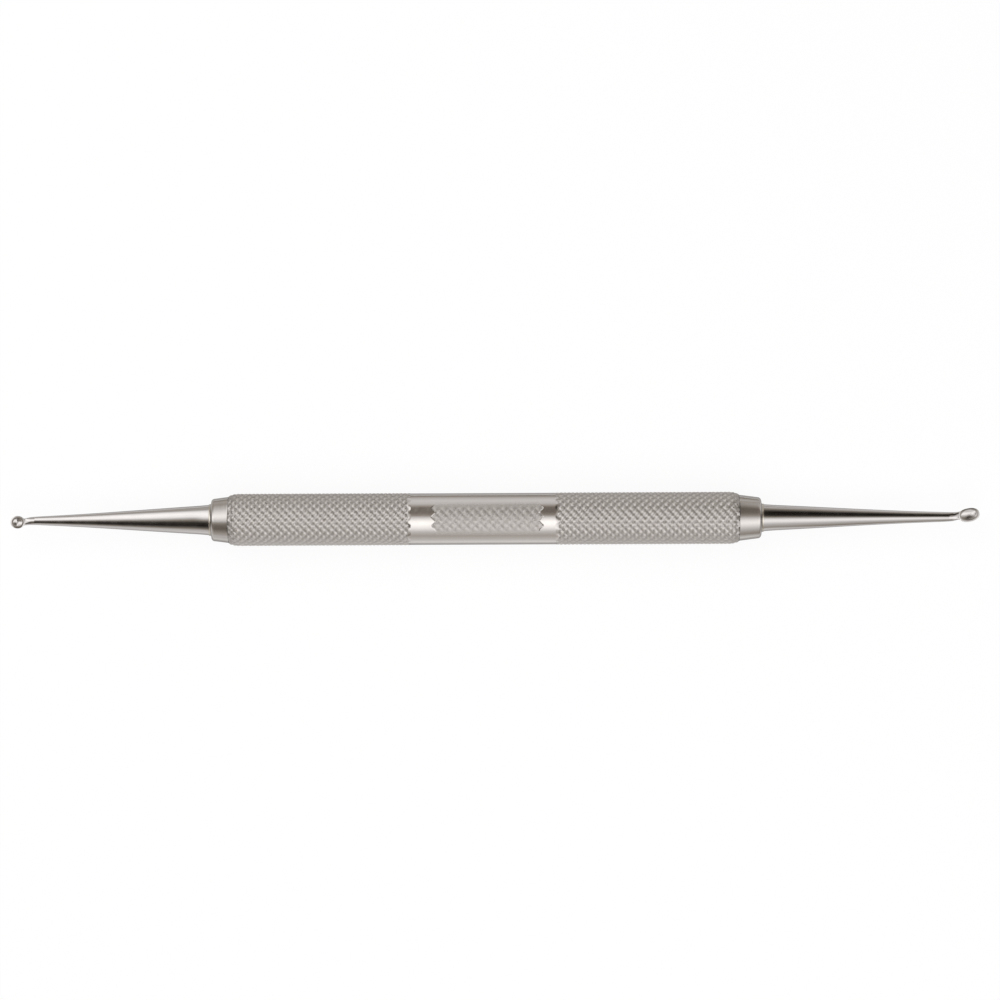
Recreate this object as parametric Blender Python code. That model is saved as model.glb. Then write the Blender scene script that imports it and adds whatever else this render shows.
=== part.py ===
"""Double ended nail curette in stainless steel.

A hollow knurled handle lies along X. A ferrule is pressed into each end of it, and each ferrule
holds the tang of a forged tip: a round spoon at the -X end, an oval spoon at the +X end.
Both spoons open upwards, along +Z. The tool lies on z = 0, on the knurl of its two grips.
"""
import math
from collections import namedtuple

import bmesh
import bpy
from mathutils import Matrix, Vector

# Handle tube: stretches in the order from the round spoon's end to the oval spoon's end
BARREL_DIAMETER = 0.0080
TUBE_BORE_DIAMETER = 0.0060
ROUND_SIDE_GRIP_LENGTH = 0.0282
ROUND_SIDE_BAND_LENGTH = 0.00325
PANEL_LENGTH = 0.0172
OVAL_SIDE_BAND_LENGTH = 0.00195
OVAL_SIDE_GRIP_LENGTH = 0.0284
SHOULDER_LENGTH = 0.0005
SHOULDER_DROP = 0.00035

# Diamond knurl: two sets of helical grooves that cross, the same number of starts each way
KNURL_STARTS = 18
KNURL_PITCH = 0.00122
KNURL_RISE = 0.000075
KNURL_DEPTH = 0.00030
KNURL_RUNOUT = 0.0003
PANEL_KNURL_DEPTH = 0.00010
PANEL_COLUMNS = 6

# Ferrules
SPIGOT_LENGTH = 0.0100
SPIGOT_LEAD = 0.0005
SPIGOT_LEAD_DROP = 0.00025
COLLAR_SEAT_DIAMETER = 0.00715
NOSE_CHAMFER_LENGTH = 0.00055
ROUND_COLLAR_LENGTH = 0.0027
ROUND_COLLAR_END_DIAMETER = 0.0066
ROUND_NOSE_DIAMETER = 0.0056
OVAL_COLLAR_LENGTH = 0.0035
OVAL_COLLAR_END_DIAMETER = 0.0064
OVAL_NOSE_DIAMETER = 0.0051

# Forged tips: the reach is from the ferrule's nose to the far end of the spoon. The waist is
# how far the taper is drawn in below a straight cone, most at the waist's share of its length.
TANG_DIAMETER = 0.0030
TANG_LENGTH = 0.0095
TANG_LEAD = 0.0004
ROUND_TIP_REACH = 0.0311
ROUND_ROOT_DIAMETER = 0.00467
ROUND_NECK_DIAMETER = 0.00110
ROUND_WAIST = 0.00012
OVAL_TIP_REACH = 0.0338
OVAL_ROOT_DIAMETER = 0.00414
OVAL_NECK_DIAMETER = 0.00138
OVAL_WAIST = 0.00015
WAIST_SHARE = 2 / 3
NECK_LENGTH = 0.0022

# Spoons: the offset is sideways from the shank's axis, the yaw turns the oval spoon's length
SPOON_WALL = 0.00028
ROUND_SPOON_LENGTH = 0.0022
ROUND_SPOON_WIDTH = 0.00195
ROUND_SPOON_DEPTH = 0.0013
ROUND_SPOON_OFFSET = 0.00020
OVAL_SPOON_LENGTH = 0.0033
OVAL_SPOON_WIDTH = 0.0021
OVAL_SPOON_DEPTH = 0.0014
OVAL_SPOON_OFFSET = 0.00028
OVAL_SPOON_YAW = math.radians(10)

# Braze fillets round the roots of the shanks, hollow in the middle of their slope
BRAZE_HEIGHT = 0.00024
BRAZE_LENGTH = 0.00045
BRAZE_HOLLOW_SHARE = 1 / 3

# One gap at every seat, and one overrun for what a cut has to pass through
FIT_GAP = 0.0001
CUT_OVERRUN = 0.0010
MERGE_DISTANCE = 0.000001

# Facets: the shank's rings crowd towards the spoon
TURNED_SIDES = 2 * KNURL_STARTS
SHANK_RINGS = 14
RING_CROWDING = 1.5
SPOON_SIDES = 32
COPLANAR_ANGLE = math.radians(0.05)
SHARP_ANGLE = math.radians(13)

barrel_radius = BARREL_DIAMETER / 2
bore_radius = TUBE_BORE_DIAMETER / 2
column_angle = math.tau / TURNED_SIDES
axis_height = (barrel_radius + KNURL_RISE) * math.cos(column_angle / 2)

waist_length = ROUND_SIDE_BAND_LENGTH + PANEL_LENGTH + OVAL_SIDE_BAND_LENGTH
tube_length = ROUND_SIDE_GRIP_LENGTH + waist_length + OVAL_SIDE_GRIP_LENGTH
round_reach = ROUND_COLLAR_LENGTH + ROUND_TIP_REACH
oval_reach = OVAL_COLLAR_LENGTH + OVAL_TIP_REACH
overall_length = round_reach + tube_length + oval_reach
tube_start = round_reach - overall_length / 2

End = namedtuple("End", "name side collar_length collar_end nose tip_reach root neck waist "
                        "spoon_length spoon_width spoon_depth spoon_offset spoon_yaw")
ROUND_END = End(
    name="round",
    side=-1,
    collar_length=ROUND_COLLAR_LENGTH,
    collar_end=ROUND_COLLAR_END_DIAMETER / 2,
    nose=ROUND_NOSE_DIAMETER / 2,
    tip_reach=ROUND_TIP_REACH,
    root=ROUND_ROOT_DIAMETER / 2,
    neck=ROUND_NECK_DIAMETER / 2,
    waist=ROUND_WAIST,
    spoon_length=ROUND_SPOON_LENGTH,
    spoon_width=ROUND_SPOON_WIDTH,
    spoon_depth=ROUND_SPOON_DEPTH,
    spoon_offset=ROUND_SPOON_OFFSET,
    spoon_yaw=0,
)
OVAL_END = End(
    name="oval",
    side=1,
    collar_length=OVAL_COLLAR_LENGTH,
    collar_end=OVAL_COLLAR_END_DIAMETER / 2,
    nose=OVAL_NOSE_DIAMETER / 2,
    tip_reach=OVAL_TIP_REACH,
    root=OVAL_ROOT_DIAMETER / 2,
    neck=OVAL_NECK_DIAMETER / 2,
    waist=OVAL_WAIST,
    spoon_length=OVAL_SPOON_LENGTH,
    spoon_width=OVAL_SPOON_WIDTH,
    spoon_depth=OVAL_SPOON_DEPTH,
    spoon_offset=OVAL_SPOON_OFFSET,
    spoon_yaw=OVAL_SPOON_YAW,
)


def clear_scene():
    for old in list(bpy.data.objects):
        bpy.data.objects.remove(old, do_unlink=True)


def steel(name, colour, roughness):
    """A bare metal finish."""
    material = bpy.data.materials.new(name)
    material.use_nodes = True
    shader = material.node_tree.nodes["Principled BSDF"]
    shader.inputs["Base Color"].default_value = (*colour, 1.0)
    shader.inputs["Metallic"].default_value = 1.0
    shader.inputs["Roughness"].default_value = roughness
    material.diffuse_color = (*colour, 1.0)
    return material


def add_object(name, bm, material, parent):
    """Put a finished bmesh in the scene, with its normals out and its round faces smooth."""
    bmesh.ops.recalc_face_normals(bm, faces=bm.faces)
    mesh = bpy.data.meshes.new(name)
    bm.to_mesh(mesh)
    bm.free()
    mesh.shade_smooth()
    mesh.set_sharp_from_angle(angle=SHARP_ANGLE)
    piece = bpy.data.objects.new(name, mesh)
    bpy.context.scene.collection.objects.link(piece)
    piece.parent = parent
    if material is not None:
        mesh.materials.append(material)
    return piece


def add_empty(name, parent=None):
    empty = bpy.data.objects.new(name, None)
    bpy.context.scene.collection.objects.link(empty)
    empty.parent = parent
    return empty


def turn_on_lathe(outline, closed):
    """Spin an outline of (x, radius) points once round the X axis.

    A closed outline gives a ring or tube. An open one starts and ends on the axis and gives a
    solid bar. Facets face straight up and straight down.
    """
    bm = bmesh.new()
    first_corner = Matrix.Rotation(column_angle / 2, 4, "X")
    points = [bm.verts.new(first_corner @ Vector((x, 0, -radius))) for x, radius in outline]
    pairs = list(zip(points, points[1:]))
    if closed:
        pairs.append((points[-1], points[0]))
    lines = [bm.edges.new(pair) for pair in pairs]
    bmesh.ops.spin(bm, geom=points + lines, cent=(0, 0, 0), axis=(1, 0, 0), angle=math.tau,
                   steps=TURNED_SIDES, use_merge=True)
    bmesh.ops.remove_doubles(bm, verts=bm.verts, dist=MERGE_DISTANCE)
    return bm


def radius_of(vert):
    return math.hypot(vert.co.y, vert.co.z)


def half_rows(length):
    """How many half pitches of knurl fill a length, always a whole number of diamonds."""
    return 2 * round(length / KNURL_PITCH)


def rows_between(start, end):
    rows = half_rows(end - start)
    return [start + (end - start) * row / rows for row in range(rows + 1)]


def press_diamonds(bm, rows, high, low, half_angle):
    """Press crossing grooves into the outside of the tube along the given rows of x.

    Corners of the turned grid alternate between the crests of diamonds and the crossings of
    grooves. Only corners within half_angle of straight up are moved.
    """
    spacing = rows[1] - rows[0]
    for vert in bm.verts:
        row = round((vert.co.x - rows[0]) / spacing)
        if not 0 <= row < len(rows) or radius_of(vert) < (barrel_radius + bore_radius) / 2:
            continue
        if abs(vert.co.x - rows[row]) > spacing / 4:
            continue
        angle = math.atan2(vert.co.y, vert.co.z)
        if abs(angle) > half_angle:
            continue
        column = round(angle / column_angle - 0.5)
        target = high if (row + column) % 2 else low
        vert.co.yz = vert.co.yz * (target / radius_of(vert))


def fold_along_grooves(bm):
    """Split each bent quad from its deepest corner, so that every groove is one clean crease."""
    for face in [face for face in bm.faces if len(face.verts) == 4]:
        corners = list(face.verts)
        radii = [radius_of(corner) for corner in corners]
        deepest = radii.index(min(radii))
        twist = radii[0] - radii[1] + radii[2] - radii[3]
        if abs(twist) > MERGE_DISTANCE:
            bmesh.utils.face_split(face, corners[deepest], corners[(deepest + 2) % 4])


def make_handle(parent, finish):
    """The tube: two knurled grips, and a smooth waist with a shallow knurled field on top."""
    shoulder_radius = barrel_radius - SHOULDER_DROP
    round_grip = rows_between(SHOULDER_LENGTH, ROUND_SIDE_GRIP_LENGTH - KNURL_RUNOUT)
    panel_start = ROUND_SIDE_GRIP_LENGTH + ROUND_SIDE_BAND_LENGTH
    panel = rows_between(panel_start, panel_start + PANEL_LENGTH)
    oval_grip_start = ROUND_SIDE_GRIP_LENGTH + waist_length
    oval_grip = rows_between(oval_grip_start + KNURL_RUNOUT, tube_length - SHOULDER_LENGTH)
    outside = round_grip + [ROUND_SIDE_GRIP_LENGTH] + panel + [oval_grip_start] + oval_grip

    outline = [(0, bore_radius), (0, shoulder_radius)]
    outline += [(x, barrel_radius) for x in outside]
    outline += [(tube_length, shoulder_radius), (tube_length, bore_radius)]
    bm = turn_on_lathe(outline, closed=True)

    crest = barrel_radius + KNURL_RISE
    for grip in (round_grip, oval_grip):
        press_diamonds(bm, grip, crest, crest - KNURL_DEPTH, math.pi)
    field_angle = column_angle * PANEL_COLUMNS / 2
    press_diamonds(bm, panel[1:-1], barrel_radius, barrel_radius - PANEL_KNURL_DEPTH, field_angle)
    fold_along_grooves(bm)
    bm.normal_update()
    bmesh.ops.dissolve_limit(bm, angle_limit=COPLANAR_ANGLE, verts=bm.verts, edges=bm.edges)

    handle = add_object("handle_tube", bm, finish, parent)
    handle.location.x = tube_start
    return handle


def make_ferrule(end, parent, finish):
    """Conical collar outside the tube, spigot inside it, and a bore for the tip's tang."""
    spigot_radius = bore_radius - FIT_GAP
    tang_hole = TANG_DIAMETER / 2 + FIT_GAP
    outline = [
        (-SPIGOT_LENGTH, tang_hole),
        (-SPIGOT_LENGTH, spigot_radius - SPIGOT_LEAD_DROP),
        (SPIGOT_LEAD - SPIGOT_LENGTH, spigot_radius),
        (FIT_GAP, spigot_radius),
        (FIT_GAP, COLLAR_SEAT_DIAMETER / 2),
        (end.collar_length - NOSE_CHAMFER_LENGTH, end.collar_end),
        (end.collar_length, end.nose),
        (end.collar_length, tang_hole),
    ]
    return add_object(end.name + "_end_ferrule", turn_on_lathe(outline, closed=True), finish, parent)


def make_braze_ring(end, parent, finish):
    """Fillet of braze in the corner between the ferrule's nose and the shank's root."""
    back = taper_start(end)
    inside = end.root + FIT_GAP
    outline = [
        (back, inside),
        (back, inside + BRAZE_HEIGHT),
        (back + BRAZE_LENGTH * BRAZE_HOLLOW_SHARE, inside + BRAZE_HEIGHT * BRAZE_HOLLOW_SHARE),
        (back + BRAZE_LENGTH, inside),
    ]
    ring = turn_on_lathe(outline, closed=True)
    return add_object(end.name + "_end_braze_ring", ring, finish, parent)


def spoon_centre(end):
    """How far along the end's own X axis the middle of its spoon stands."""
    return end.collar_length + end.tip_reach - end.spoon_length / 2


def taper_start(end):
    """The shank's shoulder, one gap clear of the ferrule's nose."""
    return end.collar_length + FIT_GAP


def shank_radius(end, share):
    """The shank's radius at a share of the way from its shoulder to the middle of the spoon."""
    straight = end.root + (end.neck - end.root) * share
    waist_share = (share / WAIST_SHARE) ** 2 * (1 - share) / (1 - WAIST_SHARE)
    return straight - end.waist * waist_share


def rim_height(end):
    """The spoon's rim is level with the top of the shank where the bowl begins."""
    bowl_share = end.spoon_length / 2 / (spoon_centre(end) - taper_start(end))
    return shank_radius(end, 1 - bowl_share)


def shank_outline(end):
    """Tang, shoulder and the long taper, which is drawn in a little towards the spoon."""
    shoulder = taper_start(end)
    taper_length = spoon_centre(end) - shoulder
    tang_radius = TANG_DIAMETER / 2
    tang_end = shoulder - TANG_LENGTH
    outline = [(tang_end, 0), (tang_end, tang_radius - TANG_LEAD), (tang_end + TANG_LEAD, tang_radius),
               (shoulder, tang_radius)]
    for ring in range(SHANK_RINGS + 1):
        share = 1 - (1 - ring / SHANK_RINGS) ** RING_CROWDING
        outline.append((shoulder + taper_length * share, shank_radius(end, share)))
    outline.append((spoon_centre(end), 0))
    return outline


def lean_neck(bm, end):
    """Lean the last stretch of the shank sideways to where the spoon stands."""
    lean_length = NECK_LENGTH + end.spoon_length / 2
    lean_start = spoon_centre(end) - lean_length
    for vert in bm.verts:
        share = max(0, (vert.co.x - lean_start) / lean_length)
        vert.co.y += end.spoon_offset * share * share


def bowl_shape(end, wall):
    """Lower half of an ellipsoid, with its flat face up: the spoon's outside, or its hollow."""
    bm = bmesh.new()
    size = Matrix.Diagonal((end.spoon_length / 2 - wall, end.spoon_width / 2 - wall,
                            end.spoon_depth - wall, 1))
    bmesh.ops.create_uvsphere(bm, u_segments=SPOON_SIDES, v_segments=SPOON_SIDES // 2, radius=1)
    upper = [vert for vert in bm.verts if vert.co.z > 1 / SPOON_SIDES]
    bmesh.ops.delete(bm, geom=upper, context="VERTS")
    rim = [edge for edge in bm.edges if edge.is_boundary]
    lid = bmesh.ops.contextual_create(bm, geom=rim)["faces"]
    bmesh.ops.transform(bm, matrix=size, verts=bm.verts)
    return bm, lid


def place_in_spoon(piece, end):
    """Stand a bowl shape at the end of the shank."""
    piece.location = (spoon_centre(end), end.spoon_offset, rim_height(end))
    piece.rotation_euler.z = end.spoon_yaw
    piece.display_type = "WIRE"
    piece.hide_render = True


def combine(piece, other, operation):
    """A live Boolean with the exact solver."""
    modifier = piece.modifiers.new(operation.lower() + "_" + other.name, "BOOLEAN")
    modifier.operation = operation
    modifier.solver = "EXACT"
    modifier.object = other


def make_tip(end, parent, finish):
    """One forging: tang and taper from the lathe, joined to a bowl and hollowed into a spoon."""
    bm = turn_on_lathe(shank_outline(end), closed=False)
    lean_neck(bm, end)
    tip = add_object(end.name + "_spoon_tip", bm, finish, parent)

    outside, _ = bowl_shape(end, 0)
    bowl = add_object(end.name + "_bowl_blank", outside, None, parent)
    place_in_spoon(bowl, end)
    combine(tip, bowl, "UNION")

    hollow, lid = bowl_shape(end, SPOON_WALL)
    raised = bmesh.ops.extrude_face_region(hollow, geom=lid)["geom"]
    raised_verts = [item for item in raised if isinstance(item, bmesh.types.BMVert)]
    bmesh.ops.translate(hollow, verts=raised_verts, vec=(0, 0, CUT_OVERRUN))
    bmesh.ops.delete(hollow, geom=lid, context="FACES_ONLY")
    cutter = add_object(end.name + "_hollow_cutter", hollow, None, parent)
    place_in_spoon(cutter, end)
    combine(tip, cutter, "DIFFERENCE")
    return tip


def make_end(end, tool, polished, satin, braze):
    """Ferrule, tip and braze ring of one end. Local X runs outwards from the tube's end face."""
    mouth = add_empty(end.name + "_end", tool)
    if end.side > 0:
        mouth.location.x = tube_start + tube_length
    else:
        mouth.location.x = tube_start
        mouth.rotation_euler.z = math.pi
    make_ferrule(end, mouth, satin)
    make_tip(end, mouth, polished)
    make_braze_ring(end, mouth, braze)


def main():
    clear_scene()
    tool = add_empty("tool_axis")
    tool.location.z = axis_height
    grip_steel = steel("grip_steel", (0.60, 0.58, 0.56), 0.36)
    collar_steel = steel("collar_steel", (0.66, 0.64, 0.62), 0.20)
    polished_steel = steel("polished_steel", (0.74, 0.72, 0.70), 0.09)
    braze_alloy = steel("braze_alloy", (0.70, 0.67, 0.61), 0.26)
    make_handle(tool, grip_steel)
    for end in (ROUND_END, OVAL_END):
        make_end(end, tool, polished_steel, collar_steel, braze_alloy)


main()
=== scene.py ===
# %% [markdown]
# # A double ended nail curette in stainless steel
# The tool is a slim knurled tube with a forged, mirror polished spoon at each end. This lesson
# dresses its construction model, the frame: every piece here stands where a solid of the frame
# stands, but is turned, knurled and forged finely enough to be looked at closely.

# %% Load the frame
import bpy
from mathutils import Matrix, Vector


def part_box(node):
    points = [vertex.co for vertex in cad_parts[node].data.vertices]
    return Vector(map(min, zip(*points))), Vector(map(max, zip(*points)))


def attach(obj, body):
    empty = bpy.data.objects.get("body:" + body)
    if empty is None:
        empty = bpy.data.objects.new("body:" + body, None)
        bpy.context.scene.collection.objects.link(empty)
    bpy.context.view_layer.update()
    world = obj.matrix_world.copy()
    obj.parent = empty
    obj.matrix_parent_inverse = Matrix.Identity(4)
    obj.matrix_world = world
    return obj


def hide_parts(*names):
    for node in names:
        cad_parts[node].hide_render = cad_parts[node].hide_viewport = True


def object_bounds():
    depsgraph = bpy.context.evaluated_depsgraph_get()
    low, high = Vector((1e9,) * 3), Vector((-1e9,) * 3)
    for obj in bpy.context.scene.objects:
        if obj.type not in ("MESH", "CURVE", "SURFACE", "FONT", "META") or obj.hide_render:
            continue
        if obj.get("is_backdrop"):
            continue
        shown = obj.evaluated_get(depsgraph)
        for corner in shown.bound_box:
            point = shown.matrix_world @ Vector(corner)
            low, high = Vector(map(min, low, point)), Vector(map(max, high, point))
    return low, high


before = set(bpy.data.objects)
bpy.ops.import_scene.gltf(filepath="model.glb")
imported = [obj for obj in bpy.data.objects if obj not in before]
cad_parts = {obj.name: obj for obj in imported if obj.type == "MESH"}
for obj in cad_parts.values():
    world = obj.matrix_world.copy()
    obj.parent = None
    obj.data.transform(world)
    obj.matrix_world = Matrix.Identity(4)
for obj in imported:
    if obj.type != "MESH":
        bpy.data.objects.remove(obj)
cad_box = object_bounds()
print("solids in the frame:", sorted(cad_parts))

# %% Modules and units
import math
from collections import namedtuple

import bmesh
import bpy
from mathutils import Matrix, Vector

MM = 0.001
WHOLE_TURN = math.tau
MERGE_DISTANCE = 0.0005 * MM

# %% [markdown]
# ## Where things are
# The frame gives the places: the handle's ends, its axis, and how far each ferrule and spoon
# reaches. What lies between those ends is written below as real sizes, in millimetres.

# %% Places read from the frame
tube_low, tube_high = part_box("handle_tube")
tube_start = tube_low.x
tube_end = tube_high.x
axis_height = (tube_low.z + tube_high.z) / 2
crest_radius = (tube_high.z - tube_low.z) / 2
print(f"handle {(tube_end - tube_start) / MM:.1f} mm long, {2 * crest_radius / MM:.2f} mm thick")

# %% Sizes of the handle
barrel_radius = 4.0 * MM
bore_radius = 3.0 * MM
left_grip_length = 28.2 * MM
left_band_length = 3.25 * MM
panel_length = 17.2 * MM
right_band_length = 1.95 * MM
shoulder_length = 0.25 * MM
shoulder_fade = 1.5 * MM
shoulder_drop = 0.35 * MM
left_band_start = tube_start + left_grip_length
panel_start = left_band_start + left_band_length
panel_end = panel_start + panel_length
right_grip_start = panel_end + right_band_length
print(f"right grip {(tube_end - right_grip_start) / MM:.1f} mm long")

# %% [markdown]
# ## The camera
# The tool was photographed from straight above with a long lens, so it stands in the picture
# almost without perspective. An orthographic camera would come close, but a long lens keeps the
# small rest of it. The picture's scale fixes the distance, and the pixel that shows the tool's
# middle fixes the aim.

# %% Camera
picture_width = 1000
pixel_size = 0.155 * MM
tool_middle_pixel = (495.0, 518.8)
tool_tilt = 0.0043
lens = 180
sensor = 36

camera_data = bpy.data.cameras.new("camera")
camera_data.lens = lens
camera_data.sensor_width = sensor
camera_data.clip_start = 0.01
camera_data.clip_end = 20
camera = bpy.data.objects.new("camera", camera_data)
bpy.context.scene.collection.objects.link(camera)
camera_distance = picture_width * pixel_size * lens / sensor
camera.location = ((picture_width / 2 - tool_middle_pixel[0]) * pixel_size,
                   (tool_middle_pixel[1] - picture_width / 2) * pixel_size,
                   axis_height + camera_distance)
camera.rotation_euler = (0, 0, -tool_tilt)
bpy.context.scene.camera = camera
bpy.context.scene.view_settings.view_transform = "Standard"
print(f"camera {camera_distance:.3f} m above the axis")

# %% [markdown]
# ## Making a turned piece
# Handle, ferrules, braze fillets and shanks all come from a lathe. The same is done here: a line
# of points is drawn below the axis and spun once round it. An outline that closes gives a ring,
# one that starts on the axis gives a bar. A cylinder with loops cut into it would do as well, but
# an outline keeps all lengths and radii of a piece in one place.

# %% Lathe
KNURL_COLUMNS = 36
column_angle = WHOLE_TURN / KNURL_COLUMNS
FINE_SIDES = 144
BEVEL_SEGMENTS = 3
sharp_from = math.radians(18)


def turn(outline, sides=FINE_SIDES, closed=True, bm=None):
    """Spin an outline of (x, radius) points round the X axis."""
    bm = bm or bmesh.new()
    points = [bm.verts.new((x, 0, -radius)) for x, radius in outline]
    pairs = list(zip(points, points[1:]))
    if closed:
        pairs.append((points[-1], points[0]))
    lines = [bm.edges.new(pair) for pair in pairs]
    bmesh.ops.spin(bm, geom=points + lines, cent=(0, 0, 0), axis=(1, 0, 0), angle=WHOLE_TURN,
                   steps=sides, use_merge=True)
    bmesh.ops.remove_doubles(bm, verts=bm.verts, dist=MERGE_DISTANCE)
    bmesh.ops.recalc_face_normals(bm, faces=bm.faces)
    return bm


def radius_of(vert):
    return math.hypot(vert.co.y, vert.co.z)


def bevel(bm, edges, amount):
    bmesh.ops.bevel(bm, geom=edges, offset=amount, offset_type="OFFSET", affect="EDGES",
                    segments=BEVEL_SEGMENTS, profile=0.5, material=-1, clamp_overlap=True)


def round_edges(bm, amount):
    """Break every sharp edge, as the last touch of the lathe does."""
    bm.normal_update()
    joined = [edge for edge in bm.edges if edge.is_manifold]
    bevel(bm, [edge for edge in joined if edge.calc_face_angle() > sharp_from], amount)


# %% [markdown]
# ## Handing a piece over
# A finished piece sits at the origin with its place in its mesh, rides on the one body that this
# tool has, and hides the solid of the frame that it stands for.

# %% Hand over
crease_angle = math.radians(60)
on_axis = Matrix.Translation((0, 0, axis_height))


def hand_over(name, bm, place, material, node):
    """Make an object of a bmesh, move it to its place and hide the solid it stands for."""
    bmesh.ops.transform(bm, matrix=place, verts=bm.verts)
    bmesh.ops.recalc_face_normals(bm, faces=bm.faces)
    mesh = bpy.data.meshes.new(name)
    bm.to_mesh(mesh)
    bm.free()
    mesh.shade_smooth()
    mesh.set_sharp_from_angle(angle=crease_angle)
    mesh.materials.append(material)
    piece = bpy.data.objects.new(name, mesh)
    bpy.context.scene.collection.objects.link(piece)
    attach(piece, "root")
    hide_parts(node)
    triangles = sum(len(face.vertices) - 2 for face in mesh.polygons)
    print(f"{name}: {triangles} triangles")


# %% [markdown]
# ## Finishes
# All but the two braze fillets is bare stainless steel, so the finishes differ mostly in how
# smooth they are and in what the tool marks look like. Such marks could be painted on images, but
# noise that is squeezed one way draws them at any distance. All patterns read Object coordinates,
# moved so that the tool's axis runs through their origin: the distance from the axis then tells a
# groove from a crest.

# %% Finish helpers
edge_tint = (0.45, 0.45, 0.45)
NOISE_DETAIL = 3.0
NOISE_ROUGHNESS = 0.55


def new_finish(name, colour, roughness):
    """A bare metal, a little darker where it is seen edge on, and the parts of its node tree.

    The plain colour and roughness are for whoever reads the finish without its patterns.
    """
    material = bpy.data.materials.new(name)
    material.use_nodes = True
    nodes = material.node_tree.nodes
    shader = nodes["Principled BSDF"]
    shader.inputs["Metallic"].default_value = 1.0
    shader.inputs["Base Color"].default_value = (*colour, 1)
    shader.inputs["Roughness"].default_value = roughness
    shader.inputs["Specular Tint"].default_value = (*edge_tint, 1)
    return material, nodes, material.node_tree.links, shader


def tool_coordinates(nodes, links, scale=(1, 1, 1)):
    """Object coordinates measured from the tool's axis and stretched."""
    coordinates = nodes.new("ShaderNodeTexCoord")
    mapping = nodes.new("ShaderNodeMapping")
    mapping.inputs["Location"].default_value = (0, 0, -axis_height * scale[2])
    mapping.inputs["Scale"].default_value = scale
    links.new(coordinates.outputs["Object"], mapping.inputs["Vector"])
    return mapping.outputs["Vector"]


def noise(nodes, links, vector, scale=1.0, detail=NOISE_DETAIL):
    texture = nodes.new("ShaderNodeTexNoise")
    texture.inputs["Scale"].default_value = scale
    texture.inputs["Detail"].default_value = detail
    texture.inputs["Roughness"].default_value = NOISE_ROUGHNESS
    links.new(vector, texture.inputs["Vector"])
    return texture.outputs["Fac"]


def spread(nodes, links, value, low, high, from_low=0.3, from_high=0.7):
    """Map a pattern's middle range to a range of roughness or of share."""
    ranged = nodes.new("ShaderNodeMapRange")
    ranged.inputs["From Min"].default_value = from_low
    ranged.inputs["From Max"].default_value = from_high
    ranged.inputs["To Min"].default_value = low
    ranged.inputs["To Max"].default_value = high
    links.new(value, ranged.inputs["Value"])
    return ranged.outputs["Result"]


def blend(nodes, links, share, dark, light):
    """Two steel colours mixed by a pattern."""
    mix = nodes.new("ShaderNodeMix")
    mix.data_type = "RGBA"
    mix.inputs["A"].default_value = (*dark, 1)
    mix.inputs["B"].default_value = (*light, 1)
    links.new(share, mix.inputs["Factor"])
    return mix.outputs["Result"]


def relief(nodes, links, shader, height, distance):
    bump = nodes.new("ShaderNodeBump")
    bump.inputs["Strength"].default_value = 1.0
    bump.inputs["Distance"].default_value = distance
    links.new(height, bump.inputs["Height"])
    links.new(bump.outputs["Normal"], shader.inputs["Normal"])


# %% [markdown]
# ### Knurled steel
# The knurl is rolled into the tube and left satin, while the smooth waist is polished. The mesh
# carries how knurled each point is, as an attribute of its own, and the finish turns from one to
# the other with it, so the two can't come apart. Grooves are painted darker than crests, as
# painted shade in the recesses: the distance to the axis tells them apart.

# %% Knurled steel
knurl_depth = 0.20 * MM
satin_steel = (0.53, 0.50, 0.48)
# Painted shade: the grooves take a darker steel than the crests
shaded_groove_steel = (0.46, 0.434, 0.416)
lit_crest_steel = (0.59, 0.557, 0.535)
satin_roughness = 0.3
# The mesh's attribute runs from 0, which is polished, up to DULLEST
DULLEST = 2
waist_roughness = 0.13
dullest_roughness = 0.73
satin_clouds = 900
satin_mottle = (-0.02, 0.05)
LATHE_DETAIL = 2
lathe_stretch = (9000, 60, 60)
lathe_mark_depth = 0.0006 * MM


def distance_to_axis(nodes, links, vector):
    across = nodes.new("ShaderNodeVectorMath")
    across.operation = "MULTIPLY"
    across.inputs[1].default_value = (0, 1, 1)
    links.new(vector, across.inputs[0])
    length = nodes.new("ShaderNodeVectorMath")
    length.operation = "LENGTH"
    links.new(across.outputs["Vector"], length.inputs[0])
    return length.outputs["Value"]


def add(nodes, links, first, second):
    total = nodes.new("ShaderNodeMath")
    links.new(first, total.inputs[0])
    links.new(second, total.inputs[1])
    return total.outputs["Value"]


def make_satin_knurl():
    """Satin where the mesh is knurled, polished where it isn't, with fine lathe marks and painted
    shade in the grooves.
    """
    material, nodes, links, shader = new_finish("satin_knurl", satin_steel, satin_roughness)
    vector = tool_coordinates(nodes, links)
    knurled = nodes.new("ShaderNodeAttribute")
    knurled.attribute_name = "knurled"
    # Painted shade: the colour darkens from crest to groove with the distance to the axis
    height = spread(nodes, links, distance_to_axis(nodes, links, vector), 0, 1,
                    crest_radius - knurl_depth, crest_radius)
    links.new(blend(nodes, links, height, shaded_groove_steel, lit_crest_steel), shader.inputs["Base Color"])
    cloudy = noise(nodes, links, vector, satin_clouds)
    dullness = spread(nodes, links, knurled.outputs["Fac"], waist_roughness, dullest_roughness,
                      0, DULLEST)
    mottle = spread(nodes, links, cloudy, *satin_mottle)
    links.new(add(nodes, links, dullness, mottle), shader.inputs["Roughness"])
    turned = tool_coordinates(nodes, links, lathe_stretch)
    marks = noise(nodes, links, turned, detail=LATHE_DETAIL)
    relief(nodes, links, shader, marks, lathe_mark_depth)
    return material


satin_knurl = make_satin_knurl()
print("finish:", satin_knurl.name)

# %% [markdown]
# ### Fine turned steel
# The ferrules were turned and then held against a soft wheel, so fine rings are left round them.

# %% Fine turned steel
turned_steel = (0.48, 0.455, 0.435)
ring_groove_steel = (0.44, 0.415, 0.395)
ring_crest_steel = (0.52, 0.492, 0.472)
turned_roughness = 0.14
ring_roughness = (0.10, 0.17)
ring_stretch = (12000, 40, 40)
ring_depth = 0.0012 * MM


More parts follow.
